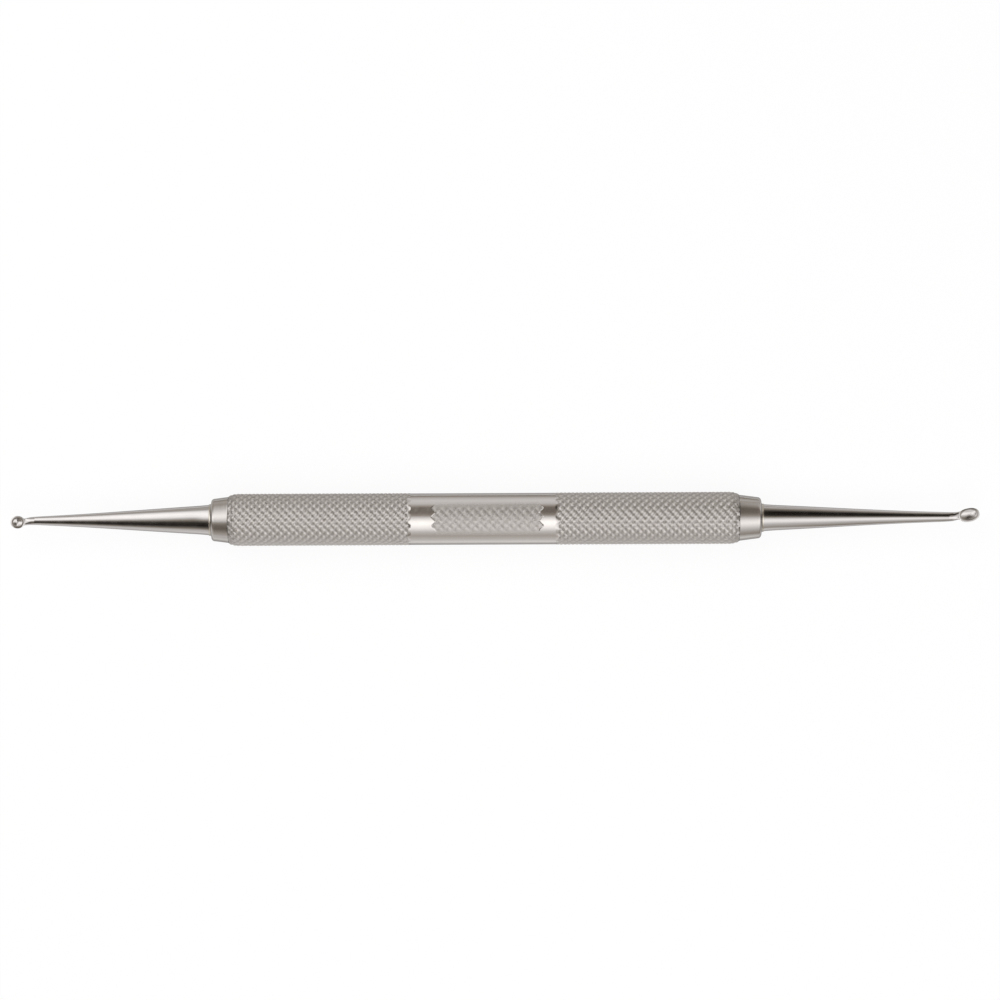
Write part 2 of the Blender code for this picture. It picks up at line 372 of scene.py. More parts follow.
def make_fine_turned():
    """Fine rings, duller and brighter by turns."""
    material, nodes, links, shader = new_finish("fine_turned", turned_steel, turned_roughness)
    marks = noise(nodes, links, tool_coordinates(nodes, links, ring_stretch))
    links.new(spread(nodes, links, marks, *ring_roughness), shader.inputs["Roughness"])
    links.new(blend(nodes, links, marks, ring_groove_steel, ring_crest_steel),
              shader.inputs["Base Color"])
    relief(nodes, links, shader, marks, ring_depth)
    return material


fine_turned = make_fine_turned()
print("finish:", fine_turned.name)

# %% [markdown]
# ### Mirror polished steel
# The forgings are buffed along their length, which leaves faint hairlines that way. The wheel
# can't reach into the spoons, so their hollows stay duller. The mesh marks them.

# %% Mirror polished steel
polished_steel = (0.53, 0.507, 0.497)
buff_groove_steel = (0.49, 0.468, 0.458)
buff_crest_steel = (0.57, 0.546, 0.536)
polished_roughness = 0.1
hollow_dullness = 0.12
polish_clouds = 500
polish_mottle = (0.07, 0.12)
POLISH_DETAIL = 2
buff_stretch = (150, 9000, 9000)
buff_mark_depth = 0.0006 * MM


def make_mirror_polish():
    """Polish with faint marks of the buffing wheel, duller where the mesh is hollow."""
    material, nodes, links, shader = new_finish("mirror_polish", polished_steel,
                                                polished_roughness)
    marks = noise(nodes, links, tool_coordinates(nodes, links, buff_stretch))
    cloudy = noise(nodes, links, tool_coordinates(nodes, links), polish_clouds,
                   detail=POLISH_DETAIL)
    hollow = nodes.new("ShaderNodeAttribute")
    hollow.attribute_name = "hollow"
    dullness = spread(nodes, links, hollow.outputs["Fac"], 0, hollow_dullness, 0, 1)
    mottle = spread(nodes, links, cloudy, *polish_mottle)
    links.new(add(nodes, links, dullness, mottle), shader.inputs["Roughness"])
    links.new(blend(nodes, links, marks, buff_groove_steel, buff_crest_steel),
              shader.inputs["Base Color"])
    relief(nodes, links, shader, marks, buff_mark_depth)
    return material


mirror_polish = make_mirror_polish()
print("finish:", mirror_polish.name)

# %% [markdown]
# ### Silver braze
# Braze is a shade warmer than steel and freezes with a slightly lumpy skin. Plain noise, the
# same in all directions, draws lumps, and paints their tops lighter and their dips darker: a
# painted highlight and painted shade.

# %% Silver braze
braze_silver = (0.52, 0.485, 0.435)
# Painted shade in the dips and a painted highlight on the lumps' tops
shaded_dip_silver = (0.48, 0.446, 0.40)
lit_lump_silver = (0.56, 0.524, 0.47)
silver_roughness = 0.2
lump_roughness = (0.15, 0.25)
lump_scale = 2500
LUMP_DETAIL = 2
lump_height = 0.006 * MM


def make_silver_braze():
    """Soft lumps, with a painted highlight on top and painted shade in the dips."""
    material, nodes, links, shader = new_finish("silver_braze", braze_silver, silver_roughness)
    lumps = noise(nodes, links, tool_coordinates(nodes, links), lump_scale, detail=LUMP_DETAIL)
    # The lumps' colour follows their height: painted highlight on top, painted shade in the dips
    links.new(blend(nodes, links, lumps, shaded_dip_silver, lit_lump_silver), shader.inputs["Base Color"])
    links.new(spread(nodes, links, lumps, *lump_roughness), shader.inputs["Roughness"])
    relief(nodes, links, shader, lumps, lump_height)
    return material


silver_braze = make_silver_braze()
print("finish:", silver_braze.name)

# %% [markdown]
# ## The knurled handle
# A diamond knurl is two sets of helical grooves that cross. Where a point lies between the
# grooves of a set is a single number, its phase, which grows along the handle and round it. The
# handle is turned as a coarse grid whose corners fall on the pits, where grooves cross, and on
# the crests between them. Each crest's four squares are joined into one diamond, each diamond is
# divided finely, and then every point of the skin is pressed to the height that its two phases
# give. All grooves then run along edges of the mesh, so they stay clean at any distance. A bump
# pattern would be lighter, but the outline of the grips would stay smooth.

# %% Knurl sizes
grip_pitch = 1.22 * MM
panel_pitch = 1.33 * MM
knurl_runout = 0.3 * MM
runout_fade = 0.6 * MM
crest_softness = 0.75
panel_depth = 0.10 * MM
panel_dullness = 1.2
panel_half_angle = 3.5 * column_angle
support = 0.06 * MM
wall_middle = (barrel_radius + bore_radius) / 2
DIAMOND_CUTS = 5

Knurl = namedtuple("Knurl", "start end spacing half_angle")


def knurl_between(start, end, pitch, half_angle=math.pi):
    """Rows of half diamonds, always a whole number of pitches."""
    rows = 2 * round((end - start) / pitch)
    return Knurl(start, end, (end - start) / rows, half_angle)


left_knurl = knurl_between(tube_start + shoulder_length, left_band_start - knurl_runout,
                           grip_pitch)
right_knurl = knurl_between(right_grip_start + knurl_runout, tube_end - shoulder_length,
                            grip_pitch)
panel_knurl = knurl_between(panel_start, panel_end, panel_pitch, panel_half_angle)
for field in (left_knurl, panel_knurl, right_knurl):
    field_length = (field.end - field.start) / MM
    print(f"knurl of {2 * field.spacing / MM:.3f} mm pitch, {field_length:.1f} mm long")


# %% Height of the knurl
# These are counted in rows and columns of the knurl
NEARLY_ONE = 0.99
TOUCHING = 0.01
WELL_INSIDE = 0.9
side_margin = 0.3
side_fade = 1.5
dull_fade = 0.6


def phases(knurl, x, angle):
    """Where a point lies between the grooves of each set: whole numbers are grooves."""
    along = (x - knurl.start) / (2 * knurl.spacing)
    around = (angle / column_angle - 0.5) / 2
    return along + around, along - around


def diamond_share(knurl, x, angle):
    """Height on a diamond: 0 in its grooves, 1 on its crest."""
    share = 1
    for phase in phases(knurl, x, angle):
        share *= math.sin(math.pi * abs(phase - round(phase)))
    return share ** crest_softness


def on_a_whole_diamond(knurl, x, angle):
    """Is the point on, or at the edge of, a diamond that lies wholly on the field?"""
    first, second = phases(knurl, x, angle)
    margin = knurl.spacing * WELL_INSIDE
    side = knurl.half_angle - column_angle * WELL_INSIDE
    for column in {math.floor(first - TOUCHING), math.floor(first + TOUCHING)}:
        for row in {math.floor(second - TOUCHING), math.floor(second + TOUCHING)}:
            centre_x = knurl.start + knurl.spacing * (column + row + 1)
            centre_angle = column_angle * (column - row + 0.5)
            along = knurl.start + margin < centre_x < knurl.end - margin
            if along and abs(centre_angle) < side:
                return True
    return False


def ramp(distance, length):
    """0 at an edge, 1 a length away from it."""
    return min(1, max(0, distance / length))


def shoulder(x):
    """How far the skin is turned down near the handle's ends."""
    return shoulder_drop * (1 - ramp(min(x - tube_start, tube_end - x), shoulder_fade)) ** 2


def grip_skin(knurl, x, angle, smooth_side):
    """Radius in a grip, whose knurl runs out towards the smooth waist, and how knurled it is."""
    fade = ramp(abs(smooth_side - x), runout_fade)
    height = crest_radius - shoulder(x) - knurl_depth * (1 - diamond_share(knurl, x, angle))
    return barrel_radius + (height - barrel_radius) * fade, fade


def panel_skin(x, angle):
    """The same in the middle: smooth below, with a shallow field on top that fades sideways.

    The field's ends follow whole diamonds, and its sides fade over a column or two.
    """
    near_an_end = min(x - panel_start, panel_end - x) < panel_knurl.spacing * NEARLY_ONE
    if near_an_end and not on_a_whole_diamond(panel_knurl, x, angle):
        return barrel_radius, 0
    to_side = (panel_half_angle - abs(angle)) / column_angle
    valley = 1 - diamond_share(panel_knurl, x, angle)
    valley *= ramp(to_side - side_margin, side_fade)
    dullness = panel_dullness * ramp(to_side + side_margin, dull_fade)
    return barrel_radius - panel_depth * valley, dullness


def skin(x, angle):
    """Radius of the handle's skin at any place, and how knurled it is there."""
    if min(x - tube_start, tube_end - x) < MERGE_DISTANCE:
        return barrel_radius - shoulder_drop, 0
    if x < left_band_start:
        return grip_skin(left_knurl, x, angle, left_band_start)
    if x > right_grip_start:
        return grip_skin(right_knurl, x, angle, right_grip_start)
    return panel_skin(x, angle)


# %% Coarse grid of the handle
def rows_of(knurl):
    count = round((knurl.end - knurl.start) / knurl.spacing)
    return [knurl.start + knurl.spacing * row for row in range(count + 1)]


def angle_of(place):
    return math.atan2(place.y, place.z)


def within(knurl, place):
    return knurl.start < place.x < knurl.end and abs(angle_of(place)) < knurl.half_angle


def is_pit(knurl, vert):
    """Do grooves cross at this corner of the grid? If not, it is a crest."""
    row = round((vert.co.x - knurl.start) / knurl.spacing)
    column = round(angle_of(vert.co) / column_angle - 0.5)
    return (row + column) % 2 == 0


def join_into_diamonds(bm, knurl):
    """Join the four squares round each crest into one diamond."""
    squares = [face for face in bm.faces if within(knurl, face.calc_center_median())
               and min(radius_of(vert) for vert in face.verts) > wall_middle]
    crests = set()
    for square in squares:
        pits = [vert for vert in square.verts if is_pit(knurl, vert)]
        crests.update(vert for vert in square.verts if vert not in pits)
        bmesh.utils.face_split(square, pits[0], pits[1])
    inner = [vert for vert in crests if len(vert.link_edges) == 4 and within(knurl, vert.co)
             and all(within(knurl, face.calc_center_median()) for face in vert.link_faces)]
    bmesh.ops.dissolve_verts(bm, verts=inner)
    return len(inner)


# %% Turn and knurl the handle
def turn_coarse_handle():
    """The handle's wall on the coarse grid, with corners half a column off straight up.

    Rings close beside the knurled fields keep the shading of the smooth bands straight.
    """
    outside = [tube_start, *rows_of(left_knurl), left_band_start, left_band_start + support,
               panel_start - 2 * support, panel_start - support, *rows_of(panel_knurl),
               panel_end + support, panel_end + 2 * support, right_grip_start - support,
               right_grip_start, *rows_of(right_knurl), tube_end]
    outline = [(x, barrel_radius) for x in outside]
    outline += [(tube_end, bore_radius), (tube_start, bore_radius)]
    bm = turn(outline, sides=KNURL_COLUMNS)
    bmesh.ops.rotate(bm, verts=bm.verts, cent=(0, 0, 0),
                     matrix=Matrix.Rotation(column_angle / 2, 3, "X"))
    return bm


def make_handle():
    bm = turn_coarse_handle()
    knurls = (left_knurl, panel_knurl, right_knurl)
    diamonds = sum(join_into_diamonds(bm, knurl) for knurl in knurls)
    round_lines = {edge for edge in bm.edges
                   if abs(edge.verts[0].co.x - edge.verts[1].co.x) < MERGE_DISTANCE
                   and abs(radius_of(edge.verts[0]) - radius_of(edge.verts[1])) < MERGE_DISTANCE}
    fine = {edge for face in bm.faces for edge in face.edges
            if min(radius_of(vert) for vert in face.verts) > wall_middle
            and any(within(knurl, face.calc_center_median()) for knurl in knurls)}
    bmesh.ops.subdivide_edges(bm, edges=list(round_lines | fine), cuts=DIAMOND_CUTS,
                              use_grid_fill=True)
    knurled = bm.verts.layers.float.new("knurled")
    for vert in bm.verts:
        radius = bore_radius
        if radius_of(vert) > wall_middle:
            radius, vert[knurled] = skin(vert.co.x, angle_of(vert.co))
        vert.co.yz = vert.co.yz * (radius / radius_of(vert))
    print(diamonds, "diamonds on the handle")
    hand_over("knurled_handle", bm, on_axis, satin_knurl, "handle_tube")


make_handle()

# %% [markdown]
# ## The two ends
# Both ends are built alike, each in a space of its own whose X axis runs outwards from the
# handle's end face, and are then moved to their end of the handle. How far each ferrule and each
# spoon reaches is read from the frame.

# %% Sizes of the two ends
End = namedtuple("End", "name place collar_length collar_end nose root neck waist reach "
                        "spoon_length spoon_width spoon_depth spoon_offset spoon_yaw "
                        "squareness")


def reaches(name):
    """How far out the ferrule and the spoon of an end stand from the handle's end face."""
    ferrule_low, ferrule_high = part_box(name + "_end_ferrule")
    tip_low, tip_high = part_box(name + "_spoon_tip")
    if name == "round":
        return tube_start - ferrule_low.x, tube_start - tip_low.x
    return ferrule_high.x - tube_end, tip_high.x - tube_end


round_collar, round_reach = reaches("round")
oval_collar, oval_reach = reaches("oval")
round_end = End(
    name="round",
    place=Matrix.Translation((tube_start, 0, axis_height)) @ Matrix.Rotation(math.pi, 4, "Z"),
    collar_length=round_collar,
    collar_end=3.3 * MM,
    nose=2.8 * MM,
    root=2.335 * MM,
    neck=0.55 * MM,
    waist=0.12 * MM,
    reach=round_reach,
    spoon_length=2.2 * MM,
    spoon_width=1.95 * MM,
    spoon_depth=1.3 * MM,
    spoon_offset=0.20 * MM,
    spoon_yaw=0,
    squareness=2.0,
)
oval_end = End(
    name="oval",
    place=Matrix.Translation((tube_end, 0, axis_height)),
    collar_length=oval_collar,
    collar_end=3.2 * MM,
    nose=2.55 * MM,
    root=2.07 * MM,
    neck=0.69 * MM,
    waist=0.15 * MM,
    reach=oval_reach,
    spoon_length=3.26 * MM,
    spoon_width=2.1 * MM,
    spoon_depth=1.4 * MM,
    spoon_offset=0.28 * MM,
    spoon_yaw=math.radians(10),
    squareness=2.35,
)
for end in (round_end, oval_end):
    print(f"{end.name} end: collar {end.collar_length / MM:.2f} mm, reach {end.reach / MM:.2f} mm")

# %% [markdown]
# ### Ferrules
# A ferrule is one turned piece: a slightly conical collar with a rounded nose, and a spigot
# that is pressed into the handle. It is a ring, with the tang of the forging through it. Only the
# collar shows, but the spigot costs a few faces and makes the piece a true one.

# %% Ferrules
hairline = 0.03 * MM
spigot_length = 10.0 * MM
spigot_radius = 2.9 * MM
spigot_lead = 0.5 * MM
seat_radius = 3.575 * MM
nose_length = 0.55 * MM
tang_radius = 1.5 * MM
tang_clearance = 0.1 * MM
collar_edge = 0.05 * MM
cone_support = 0.15 * MM
NOSE_STEPS = 6


def quarter_round(length, drop, steps):
    """Points of a quarter ellipse, as (how far along, how far down)."""
    turns = [math.pi / 2 * step / steps for step in range(steps + 1)]
    return [(length * math.sin(turned), drop * (1 - math.cos(turned))) for turned in turns]


def make_ferrule(end):
    """Collar, nose and spigot. Rings close to the cone's ends keep its shading straight."""
    bore = tang_radius + tang_clearance
    outline = [
        (-spigot_length, bore),
        (-spigot_length, spigot_radius - spigot_lead / 2),
        (spigot_lead - spigot_length, spigot_radius),
        (hairline, spigot_radius),
        (hairline, seat_radius),
    ]
    nose_start = end.collar_length - nose_length
    cone_slope = (seat_radius - end.collar_end) / (nose_start - hairline)
    for x in (hairline + cone_support, nose_start - cone_support):
        outline.append((x, seat_radius - cone_slope * (x - hairline)))
    for along, down in quarter_round(nose_length, end.collar_end - end.nose, NOSE_STEPS):
        outline.append((nose_start + along, end.collar_end - down))
    outline.append((end.collar_length, bore))
    bm = turn(outline)
    round_edges(bm, collar_edge)
    hand_over(end.name + "_end_collar", bm, end.place, fine_turned, end.name + "_end_ferrule")


for end in (round_end, oval_end):
    make_ferrule(end)

# %% [markdown]
# ### Braze fillets
# Where the forging leaves the ferrule, braze has drawn itself into the corner. Its slope is
# hollow, as a liquid's edge is, and is drawn as a quarter of an ellipse. If collar and shank were
# one mesh, a bevel could make it. As a turned ring it stays a piece of its own.

# %% Braze fillets
braze_height = 0.16 * MM
braze_length = 0.35 * MM
root_flare = 0.06 * MM
flare_length = 2.5 * MM
BRAZE_STEPS = 10


def make_braze_fillet(end):
    """A ring with a hollow slope, a hairline off the ferrule and off the shank."""
    back = end.collar_length + hairline
    inside = end.root + root_flare + hairline
    outline = [(back, inside)]
    for down, along in quarter_round(braze_height, braze_length, BRAZE_STEPS):
        outline.append((back + along, inside + braze_height - down))
    bm = turn(outline)
    name = end.name + "_end_braze_ring"
    hand_over(end.name + "_end_braze_fillet", bm, end.place, silver_braze, name)


for end in (round_end, oval_end):
    make_braze_fillet(end)

# %% [markdown]
# ### Forged spoons
# Each forging is made in three steps, as the smith and the grinder make it. The tang and the
# long taper are turned. The bowl is spun from the outline of its wall, outside, rim and inside,
# round an upright axis. Then its side is opened and drawn out to meet the taper, and the joint
# is smoothed. A bowl that is only pushed into the shank would be quicker, but it would leave a
# hard line where the real forging flows.

# %% Shank
BOWL_SIDES = 96
BOWL_ROWS = 24
MOUTH_COLUMNS = 18
MOUTH_ROWS = 12
SHANK_SIDES = 2 * (MOUTH_COLUMNS + MOUTH_ROWS)
SHANK_RINGS = 48
tang_length = 9.5 * MM
tang_lead = 0.4 * MM
neck_length = 1.2 * MM
draw_length = 1.0 * MM


def spoon_centre(end):
    return end.reach - end.spoon_length / 2


def shank_radius(end, share):
    """A straight taper drawn in a little, most at two thirds of its length."""
    straight = end.root + (end.neck - end.root) * share
    drawn_in = end.waist * (share * 3 / 2) ** 2 * (1 - share) * 3
    to_root = ramp(share * (spoon_centre(end) - taper_start(end)), flare_length)
    return straight - drawn_in + root_flare * (1 - to_root) ** 2


def taper_start(end):
    return end.collar_length + hairline


def rim_height(end):
    """The rim is level with the top of the shank where the bowl begins."""
    return shank_radius(end, 1 - end.spoon_length / 2 / (spoon_centre(end) - taper_start(end)))


def lean(end, x):
    """How far the shank leans sideways on its last stretch, to meet the spoon."""
    lean_length = neck_length + end.spoon_length / 2
    share = max(0, (x - spoon_centre(end) + lean_length) / lean_length)
    return end.spoon_offset * share * share


def turn_shank(end, bm):
    """Tang and taper, open at the end where the bowl is drawn out. Returns the open edge."""
    shoulder = taper_start(end)
    tang_end = shoulder - tang_length
    taper_length = spoon_centre(end) - shoulder
    open_share = 1 - (end.spoon_length / 2 + draw_length) / taper_length
    outline = [(tang_end, 0), (tang_end, tang_radius - tang_lead),
               (tang_end + tang_lead, tang_radius), (shoulder, tang_radius)]
    for ring in range(SHANK_RINGS + 1):
        share = open_share * ring / SHANK_RINGS
        outline.append((shoulder + taper_length * share, shank_radius(end, share)))
    turn(outline, sides=SHANK_SIDES, closed=False, bm=bm)
    for vert in bm.verts:
        vert.co.y += lean(end, vert.co.x)
    return [edge for edge in bm.edges if edge.is_boundary]


# %% Bowl
bowl_wall = 0.42 * MM
rim_edge = 0.12 * MM
dish_slope = math.radians(33)
row_angle = WHOLE_TURN / 4 / BOWL_ROWS
mouth_half_angle = WHOLE_TURN * MOUTH_COLUMNS / BOWL_SIDES / 2
mouth_top = row_angle
mouth_bottom = row_angle * (MOUTH_ROWS + 1)
# Before the bowl is stretched to its real size, its outside has a radius of 1
inside_radius = 0.5
between_walls = (1 + inside_radius) / 2
hollow_edge = 0.1
same_circle = 0.1


def spin_bowl(bm):
    """Spin the wall of the bowl, not yet in its real size. Returns its points."""
    before = set(bm.verts)
    dips = [row * row_angle for row in range(BOWL_ROWS + 1)]
    wall = [(math.cos(dip), math.sin(dip)) for dip in reversed(dips)]
    wall += [(inside_radius * math.cos(dip), inside_radius * math.sin(dip)) for dip in dips]
    line = [bm.verts.new((across, 0, -down)) for across, down in wall]
    edges = [bm.edges.new(pair) for pair in zip(line, line[1:])]
    bmesh.ops.spin(bm, geom=line + edges, cent=(0, 0, 0), axis=(0, 0, 1), angle=WHOLE_TURN,
                   steps=BOWL_SIDES, use_merge=True)
    new = [vert for vert in bm.verts if vert not in before]
    bmesh.ops.remove_doubles(bm, verts=new, dist=MERGE_DISTANCE)
    return [vert for vert in bm.verts if vert not in before]


def open_mouth(bm, verts, yaw):
    """Open the outside of the unit bowl towards the shank. Returns the edge of the opening."""
    opened = []
    for face in {face for vert in verts for face in vert.link_faces}:
        centre = face.calc_center_median()
        azimuth = math.atan2(centre.y, -centre.x) - yaw
        dip = math.asin(-centre.z / centre.length)
        outside = centre.length > between_walls
        if outside and abs(azimuth) < mouth_half_angle and mouth_top < dip < mouth_bottom:
            opened.append(face)
    closed = {edge for edge in bm.edges if edge.is_boundary}
    bmesh.ops.delete(bm, geom=opened, context="FACES")
    return [edge for edge in bm.edges if edge.is_boundary and edge not in closed]


def dish_point(unit, end):
    """A point of the hollow, a shallow dish cut by a ball that meets the rim at dish_slope."""
    dip = math.asin(-unit.z)
    tilt = dish_slope * (1 - dip / (math.pi / 2))
    across = math.sin(tilt) / math.sin(dish_slope)
    down = (math.cos(tilt) - math.cos(dish_slope)) / (1 - math.cos(dish_slope))
    half_length = end.spoon_length / 2 - bowl_wall
    half_width = end.spoon_width / 2 - bowl_wall
    level = Vector((unit.x, unit.y)).normalized() * across
    return Vector((half_length * level.x, half_width * level.y,
                   -half_width * math.tan(dish_slope / 2) * down))


def swell(unit, squareness):
    """How far a rounded square of this squareness stands out of a circle, seen from above."""
    level = Vector((unit.x, unit.y)).normalized()
    total = abs(level.x) ** squareness + abs(level.y) ** squareness
    return total ** (-1 / squareness) if total else 1


def place_bowl(bm, verts, end):
    """Stretch the unit bowl to the spoon's size, at the end of the shank."""
    half_size = (end.spoon_length / 2, end.spoon_width / 2, end.spoon_depth)
    turned = Matrix.Rotation(end.spoon_yaw, 3, "Z")
    middle = Vector((spoon_centre(end), end.spoon_offset, rim_height(end)))
    hollow = bm.verts.layers.float["hollow"]
    for vert in verts:
        unit = vert.co.normalized()
        if vert.co.length < between_walls:
            point = dish_point(unit, end)
            vert[hollow] = ramp(-unit.z, hollow_edge)
        else:
            point = Vector(share * half for share, half in zip(unit, half_size))
        point.xy *= swell(unit, end.squareness)
        vert.co = middle + turned @ point


# %% Forge the tips
SMOOTH_PASSES = 16
SMOOTH_SHARE = 0.5
DRAW_CUTS = 11
BLEND_ROWS = 3


def forge_tip(end):
    """Shank and bowl in one skin, with a broken rim and a smoothed neck."""
    bm = bmesh.new()
    bm.verts.layers.float.new("hollow")
    shank_edge = turn_shank(end, bm)
    bowl = spin_bowl(bm)
    mouth_edge = open_mouth(bm, bowl, end.spoon_yaw)
    bowl = [vert for vert in bowl if vert.is_valid]
    level = {vert for vert in bowl if abs(vert.co.z) < MERGE_DISTANCE}
    rim = [edge for edge in bm.edges if level.issuperset(edge.verts)
           and abs(edge.verts[0].co.length - edge.verts[1].co.length) < same_circle]
    place_bowl(bm, bowl, end)
    bevel(bm, rim, rim_edge)

    shank_ring = {vert for edge in shank_edge for vert in edge.verts}
    drawn = bmesh.ops.bridge_loops(bm, edges=shank_edge + mouth_edge)["faces"]
    lengthwise = {edge for face in drawn for edge in face.edges
                  if len(shank_ring.intersection(edge.verts)) == 1}
    before = set(bm.verts)
    bmesh.ops.subdivide_edgering(bm, edges=list(lengthwise), interp_mode="LINEAR", smooth=0,
                                 cuts=DRAW_CUTS, profile_shape="LINEAR", profile_shape_factor=0)
    neck = {vert for vert in bm.verts if vert not in before}
    for _ in range(BLEND_ROWS):
        neck |= {edge.other_vert(vert) for vert in neck for edge in vert.link_edges
                 if edge.other_vert(vert).co.z < rim_height(end) - rim_edge}
    for _ in range(SMOOTH_PASSES):
        bmesh.ops.smooth_vert(bm, verts=list(neck), factor=SMOOTH_SHARE, use_axis_x=True,
                              use_axis_y=True, use_axis_z=True)
    print(f"{end.name} end: rim of {len(rim)} edges, neck of {len(neck)} points")
    hand_over(end.name + "_spoon_forging", bm, end.place, mirror_polish, end.name + "_spoon_tip")


for end in (round_end, oval_end):
    forge_tip(end)

# %% [markdown]
# ## The studio
# Polished steel shows what stands round it, so the studio is most of its look. The tool lies
# under a tent of white cloth, half a drum round its axis, whose hems run in over the floor. A
# lamp stands behind one side of the cloth and a dark card behind the other, and round the left
# end the two change sides. A round bar mirrors the cloth's brightness from hem to hem. A picture
# of a studio, wrapped round the scene, would show alike in every stretch of the tool. A tent
# close by can glow in another way over each.

# %% Brightness of the tent
# Angles are in degrees from straight above: towards the lamp first, towards the card below zero
waist_light = [(135, 1.4), (110, 0.9), (80, 0.6), (58, 0.9), (40, 1.55), (22, 2.0), (10, 1.9),
               (-6, 1.05), (-16, 0.42), (-30, 0.25), (-52, 0.25), (-72, 0.87), (-90, 1.0),
               (-108, 0.8), (-135, 0.3)]
left_tip_light = [(135, 0.7), (100, 0.55), (88, 0.65), (68, 1.6), (50, 1.9), (30, 1.75),
                  (19, 1.4), (8, 0.85), (-3, 0.42), (-14, 0.14), (-26, 0.03), (-50, 0.02),
                  (-68, 0.2), (-92, 0.85), (-135, 1.05)]
left_taper_light = [(135, 0.7), (100, 0.55), (88, 0.65), (68, 1.55), (55, 1.75), (30, 1.5),
                    (14, 0.7), (-4, 0.26), (-20, 0.06), (-46, 0.03), (-64, 0.21), (-92, 0.85),
                    (-135, 1.05)]
left_collar_light = [(135, 0.6), (85, 0.53), (60, 0.8), (26, 1.8), (15, 1.95), (-5, 1.25),
                     (-16, 0.6), (-30, 0.34), (-50, 0.28), (-72, 0.6), (-90, 0.75), (-135, 0.75)]
right_taper_light = [(135, 0.5), (100, 0.4), (85, 0.58), (60, 0.82), (49, 1.08), (38, 1.4),
                     (28, 1.55), (17, 1.4), (6, 0.88), (-4, 0.4), (-13, 0.12), (-24, 0.03),
                     (-52, 0.01), (-67, 0.12), (-80, 0.33), (-94, 0.56), (-112, 0.76), (-135, 0.9)]
right_collar_light = [(135, 0.62), (100, 0.54), (82, 0.6), (61, 1.0), (28, 1.88), (14, 1.65),
                      (0, 1.05), (-10, 0.6), (-28, 0.33), (-50, 0.31), (-74, 0.74), (-100, 0.76),
                      (-135, 0.67)]
dim_light = [(135, 0.2), (-135, 0.2)]
FRONT, BACK = -1, 1
Station = namedtuple("Station", "x size brightness lamp_side")
tent_stations = [
    Station(-1.0, 0.0, dim_light, BACK), Station(-1.0, 1.0, dim_light, BACK),
    Station(-0.9, 1.0, left_collar_light, BACK), Station(-0.150, 1.0, left_collar_light, BACK),
    Station(-0.143, 1.0, left_tip_light, BACK), Station(-0.130, 1.0, left_tip_light, BACK),
    Station(-0.115, 1.0, left_taper_light, BACK), Station(-0.068, 1.0, left_taper_light, BACK),
    Station(-0.05, 1.0, waist_light, FRONT), Station(0.05, 1.0, waist_light, FRONT),
    Station(0.068, 1.0, right_taper_light, FRONT), Station(0.137, 1.0, right_taper_light, FRONT),
    Station(0.144, 1.0, right_collar_light, FRONT), Station(0.9, 1.0, right_collar_light, FRONT),
    Station(1.0, 1.0, dim_light, FRONT), Station(1.0, 0.0, dim_light, FRONT),
]


def brightness_at(station, angle):
    """Brightness of the cloth at an angle from straight above, positive towards +Y."""
    toward = math.degrees(angle) * station.lamp_side
    for (high, high_level), (low, low_level) in zip(station.brightness, station.brightness[1:]):
        if low <= toward <= high:
            return low_level + (high_level - low_level) * (toward - low) / (high - low)
    return station.brightness[0 if toward > 0 else -1][1]


# %% Tent
tent_radius = 0.36
hem_height = 0.3 * MM
sight_height = 6 * MM
hem_share = 0.8
hem_angle = math.radians(135)
bow = 0.15
TENT_STEPS = 90
card_tint = (1.0, 0.90, 0.78)
card_glow = 0.3
white_glow = 0.9


def cloth_place(station, angle):
    """A drum down to the floor, then a hem that runs in to where that angle meets the floor.

    A cone mirrors points nearer to the middle with its flanks than with its top, so every seam
    of the cloth bows inwards towards the floor.
    """
    radius = tent_radius * station.size
    if abs(angle) <= math.pi / 2:
        seam_x = station.x * (1 - bow * (1 - math.cos(angle)))
        return seam_x, radius * math.sin(angle), axis_height + radius * math.cos(angle)
    below = abs(angle) - math.pi / 2
    away = min(radius, barrel_radius + sight_height / math.tan(below))
    return station.x * hem_share, math.copysign(away, angle), hem_height


def make_tent_cloth():
    """Cloth that glows as brightly as its attribute says, warmer where the card darkens it."""
    cloth = bpy.data.materials.new("tent_cloth")
    cloth.use_nodes = True
    nodes = cloth.node_tree.nodes
    links = cloth.node_tree.links
    shader = nodes["Principled BSDF"]
    shader.inputs["Base Color"].default_value = (0, 0, 0, 1)
    shader.inputs["Specular IOR Level"].default_value = 0.0
    glow = nodes.new("ShaderNodeAttribute")
    glow.attribute_name = "glow"
    share = spread(nodes, links, glow.outputs["Fac"], 0, 1, card_glow, white_glow)
    links.new(blend(nodes, links, share, card_tint, (1, 1, 1)), shader.inputs["Emission Color"])
    links.new(glow.outputs["Fac"], shader.inputs["Emission Strength"])
    return cloth


def make_tent():
    """A flat sheet one unit wide, with a column for each station, is bent into the drum."""
    bm = bmesh.new()
    columns = len(tent_stations) - 1
    bmesh.ops.create_grid(bm, x_segments=columns, y_segments=TENT_STEPS, size=0.5)
    glow = bm.verts.layers.float.new("glow")
    for vert in bm.verts:
        station = tent_stations[round((vert.co.x + 0.5) * columns)]
        angle = 2 * hem_angle * vert.co.y
        vert[glow] = brightness_at(station, angle)
        vert.co = cloth_place(station, angle)
    mesh = bpy.data.meshes.new("tent")
    bm.to_mesh(mesh)
    bm.free()
    mesh.materials.append(make_tent_cloth())
    tent = bpy.data.objects.new("tent", mesh)
    bpy.context.scene.collection.objects.link(tent)
    tent.visible_camera = False
    tent.visible_diffuse = False
    tent.visible_shadow = False
    tent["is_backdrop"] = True


make_tent()
print(len(tent_stations), "stations along the tent")

# %% [markdown]
# ### Lamps
# The metal sees the tent and not the lamps behind it. Whatever is matt, here the floor, is lit by
# the two lamps themselves, which also draw the soft shadow.

# %% Lamps
lamp_size = 0.4
lamp_lean = math.radians(28)
lamp_distance = 0.5
lamp_radiance = 1.6
front_lamp_x = 0.1
back_lamp_x = -0.2


